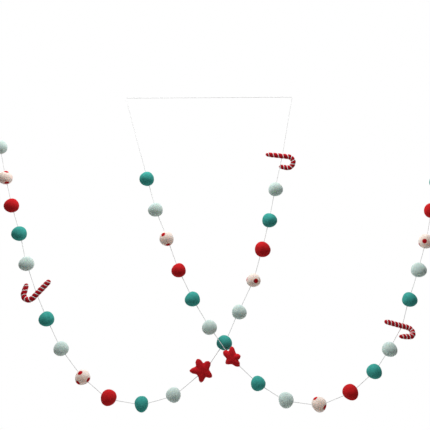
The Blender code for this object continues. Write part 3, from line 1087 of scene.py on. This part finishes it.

# %% [markdown]
# ## Loose fibres
#
# Seen close, felt has no sharp outline: fibres stand off it by a millimetre or so. Placing
# thousands of hairs by hand would be slow, so Geometry Nodes scatters one small bent hair
# over the surface, turned and sized at random from a fixed seed. The hairs are then made
# real and stored as a plain mesh, one for each colour. A single fibre lets light through,
# so the hairs get a paler colour than the felt: painted light for what shines through them.

# %% Scatter loose fibres
FIBRES_PER_BALL = 340
BALL_AREA = 4 * math.pi * (12.3 * MM) ** 2
FIBRE_LENGTH = 1.3 * MM
FIBRE_THICKNESS = 0.022 * MM
FIBRE_TIP = 0.3
FIBRE_ROOT = 0.15
FIBRE_RISE = 0.62
FIBRE_CURL = 1.9
FIBRE_BEND = 0.55
FIBRE_LEAN = 1.15
FIBRE_SIZES = (0.45, 1.15)
# Painted light: the cream hairs are paler than the cream felt, standing in for light shining
# through a fibre.
PALE_FIBRE = ((0.90, 0.84, 0.80), (0.78, 0.70, 0.64))
CANE_CROWD = 0.8
FUZZ_SEEDS = {"mint": 5, "teal": 16, "white": 27, "red": 38, "star": 71, "cane": 83}


def fibre_source():
    """One hair: a thin three-sided cone, bent over towards its tip."""
    bm = bmesh.new()
    bmesh.ops.create_cone(bm, cap_ends=True, segments=3, radius1=FIBRE_THICKNESS,
                          radius2=FIBRE_THICKNESS * FIBRE_TIP, depth=FIBRE_LENGTH)
    long_edges = [edge for edge in bm.edges if edge.calc_length() > FIBRE_LENGTH / 2]
    bmesh.ops.subdivide_edges(bm, edges=long_edges, cuts=2)
    for vert in bm.verts:
        share = vert.co.z / FIBRE_LENGTH + 0.5
        vert.co.z = FIBRE_LENGTH * (FIBRE_RISE * math.sin(share * FIBRE_CURL) - FIBRE_ROOT)
        vert.co.x += FIBRE_LENGTH * FIBRE_BEND * share ** 2
    bmesh.ops.recalc_face_normals(bm, faces=bm.faces)
    return bpy.data.objects.new("hair", stored("hair", bm))


def scatter_nodes(hair, density, seed):
    """The node group that puts hairs on a surface and gives back only the hairs."""
    group = bpy.data.node_groups.new("scatter_fibres", "GeometryNodeTree")
    group.interface.new_socket("Geometry", in_out="INPUT", socket_type="NodeSocketGeometry")
    group.interface.new_socket("Geometry", in_out="OUTPUT", socket_type="NodeSocketGeometry")
    nodes, links = group.nodes, group.links
    surface = nodes.new("NodeGroupInput")
    result = nodes.new("NodeGroupOutput")
    points = nodes.new("GeometryNodeDistributePointsOnFaces")
    points.inputs["Density"].default_value = density
    points.inputs["Seed"].default_value = seed
    lean = nodes.new("FunctionNodeRandomValue")
    lean.data_type = "FLOAT_VECTOR"
    lean.inputs["Min"].default_value = (-FIBRE_LEAN, -FIBRE_LEAN, 0.0)
    lean.inputs["Max"].default_value = (FIBRE_LEAN, FIBRE_LEAN, math.tau)
    lean.inputs["Seed"].default_value = seed + 1
    turn = nodes.new("FunctionNodeRotateRotation")
    turn.rotation_space = "LOCAL"
    grow = nodes.new("FunctionNodeRandomValue")
    grow.data_type = "FLOAT"
    grow.inputs[2].default_value = FIBRE_SIZES[0]
    grow.inputs[3].default_value = FIBRE_SIZES[1]
    grow.inputs["Seed"].default_value = seed + 2
    source = nodes.new("GeometryNodeObjectInfo")
    source.inputs["Object"].default_value = hair
    place_hairs = nodes.new("GeometryNodeInstanceOnPoints")
    realize = nodes.new("GeometryNodeRealizeInstances")
    for start, out, end, into in (
            (surface, 0, points, "Mesh"), (points, "Points", place_hairs, "Points"),
            (source, "Geometry", place_hairs, "Instance"), (points, "Rotation", turn, "Rotation"),
            (lean, 0, turn, "Rotate By"), (turn, 0, place_hairs, "Rotation"),
            (grow, 1, place_hairs, "Scale"), (place_hairs, 0, realize, 0),
            (realize, 0, result, 0)):
        links.new(start.outputs[out], end.inputs[into])
    return group


def add_fuzz(kind, surfaces, crowd=1.0):
    """Scatter hairs over the pieces of one kind and store them as one mesh."""
    name = f"fibres_{kind}"
    bm = bmesh.new()
    for surface in surfaces:
        bm.from_mesh(surface.data)
    carrier = put_in_scene(name, stored(name, bm))
    scatter = carrier.modifiers.new("fibres", "NODES")
    density = crowd * FIBRES_PER_BALL / BALL_AREA
    scatter.node_group = scatter_nodes(hair, density, FUZZ_SEEDS[kind])
    graph = bpy.context.evaluated_depsgraph_get()
    hairs = bpy.data.meshes.new_from_object(carrier.evaluated_get(graph))
    bpy.data.objects.remove(carrier)
    # Painted light: each kind's hairs are paler than its felt, standing in for light shining
    # through a fibre.
    colours = PALE_FIBRE if kind == "white" else (FELTS[kind][2], FELTS[kind][0])
    hairs.materials.clear()
    hairs.materials.append(cotton(f"{kind}_fibre", *colours))
    fuzz = put_in_scene(name, hairs)
    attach(fuzz, "root")
    print(name, "faces:", len(hairs.polygons))


hair = fibre_source()
for kind, made in balls.items():
    add_fuzz(kind, made)
add_fuzz("star", stars)
add_fuzz("cane", canes, CANE_CROWD)
bpy.data.objects.remove(hair)

# %% [markdown]
# ## Light and floor
#
# In the photograph every ball is bright on top, light all round its rim, and darkest just
# below the middle of its front. So there are three sources. A wide lamp hangs above, in
# front and a little to the left, near enough to be stronger on the upper balls. The room is
# white high behind the garland and dark on the camera's side. And the pale floor, well
# below the garland and out of the photograph's view, throws some light back up. It turns
# clear towards its rim, so that no edge of it shows from the sides.

# %% Light and floor
BRIGHT_SIDE = Vector((0, 0.81, 0.58))
ROOM_BRIGHTNESS = 0.86
ROOM_FADE = (-0.45, 0.5)
LAMP_WAY = Vector((-0.15, -0.45, 0.87))
LAMP_DISTANCE = 0.75
LAMP_WIDTH = 0.7
LAMP_WATTS = 7.8
FLOOR_DROP = 0.45
FLOOR_FADE_START = 0.55
FLOOR_RADIUS = 1.35
FLOOR_COLOUR = (0.74, 0.73, 0.72)
garland_middle = (cad_box[0] + cad_box[1]) / 2


def surroundings():
    """A room that is bright high behind the garland, and pure white where the camera looks."""
    world = bpy.data.worlds.new("white_room")
    world.use_nodes = True
    tree = world.node_tree
    background = tree.nodes["Background"]
    background.inputs["Color"].default_value = (1, 1, 1, 1)
    where = tree.nodes.new("ShaderNodeTexCoord")
    towards = tree.nodes.new("ShaderNodeVectorMath")
    towards.operation = "DOT_PRODUCT"
    towards.inputs[1].default_value = BRIGHT_SIDE.normalized()
    spread = tree.nodes.new("ShaderNodeMapRange")
    spread.interpolation_type = "SMOOTHSTEP"
    spread.inputs["From Min"].default_value = ROOM_FADE[0]
    spread.inputs["From Max"].default_value = ROOM_FADE[1]
    spread.inputs["To Max"].default_value = ROOM_BRIGHTNESS
    seen = tree.nodes.new("ShaderNodeLightPath")
    pick = tree.nodes.new("ShaderNodeMix")
    pick.inputs[3].default_value = 1.0
    tree.links.new(where.outputs["Generated"], towards.inputs[0])
    tree.links.new(towards.outputs["Value"], spread.inputs["Value"])
    tree.links.new(seen.outputs["Is Camera Ray"], pick.inputs[0])
    tree.links.new(spread.outputs[0], pick.inputs[2])
    tree.links.new(pick.outputs[0], background.inputs["Strength"])
    bpy.context.scene.world = world


def add_lamp():
    """A wide square lamp that looks at the garland's middle."""
    light = bpy.data.lights.new("soft_lamp", "AREA")
    light.size = LAMP_WIDTH
    light.energy = LAMP_WATTS
    lamp = put_in_scene("soft_lamp", light)
    way = LAMP_WAY.normalized()
    lamp.location = garland_middle + way * LAMP_DISTANCE
    lamp.rotation_euler = way.to_track_quat("Z", "Y").to_euler()


def add_floor():
    """A plain pale disc below the garland, clear at its rim."""
    bm = bmesh.new()
    bmesh.ops.create_circle(bm, cap_ends=True, segments=96, radius=FLOOR_RADIUS)
    spot = Vector((garland_middle.x, garland_middle.y, cad_box[0].z - FLOOR_DROP))
    bmesh.ops.translate(bm, verts=bm.verts, vec=spot)
    mesh = stored("floor", bm)
    pale = Finish("floor_pale", {"Base Color": (*FLOOR_COLOUR, 1), "Roughness": 0.9})
    from_middle = pale.add("ShaderNodeVectorMath", {"operation": "DISTANCE"},
                           {0: pale.add("ShaderNodeTexCoord", out=3), 1: spot}, out=1)
    pale.drive({"Alpha": pale.add("ShaderNodeMapRange", {"interpolation_type": "SMOOTHSTEP"}, {
        "Value": from_middle, "From Min": FLOOR_FADE_START, "From Max": FLOOR_RADIUS,
        "To Min": 1.0, "To Max": 0.0})})
    mesh.materials.append(pale.material)
    put_in_scene("floor", mesh)


surroundings()
add_lamp()
add_floor()
bpy.context.scene.view_settings.view_transform = "Standard"
print("light and floor round", [round(x, 3) for x in garland_middle])
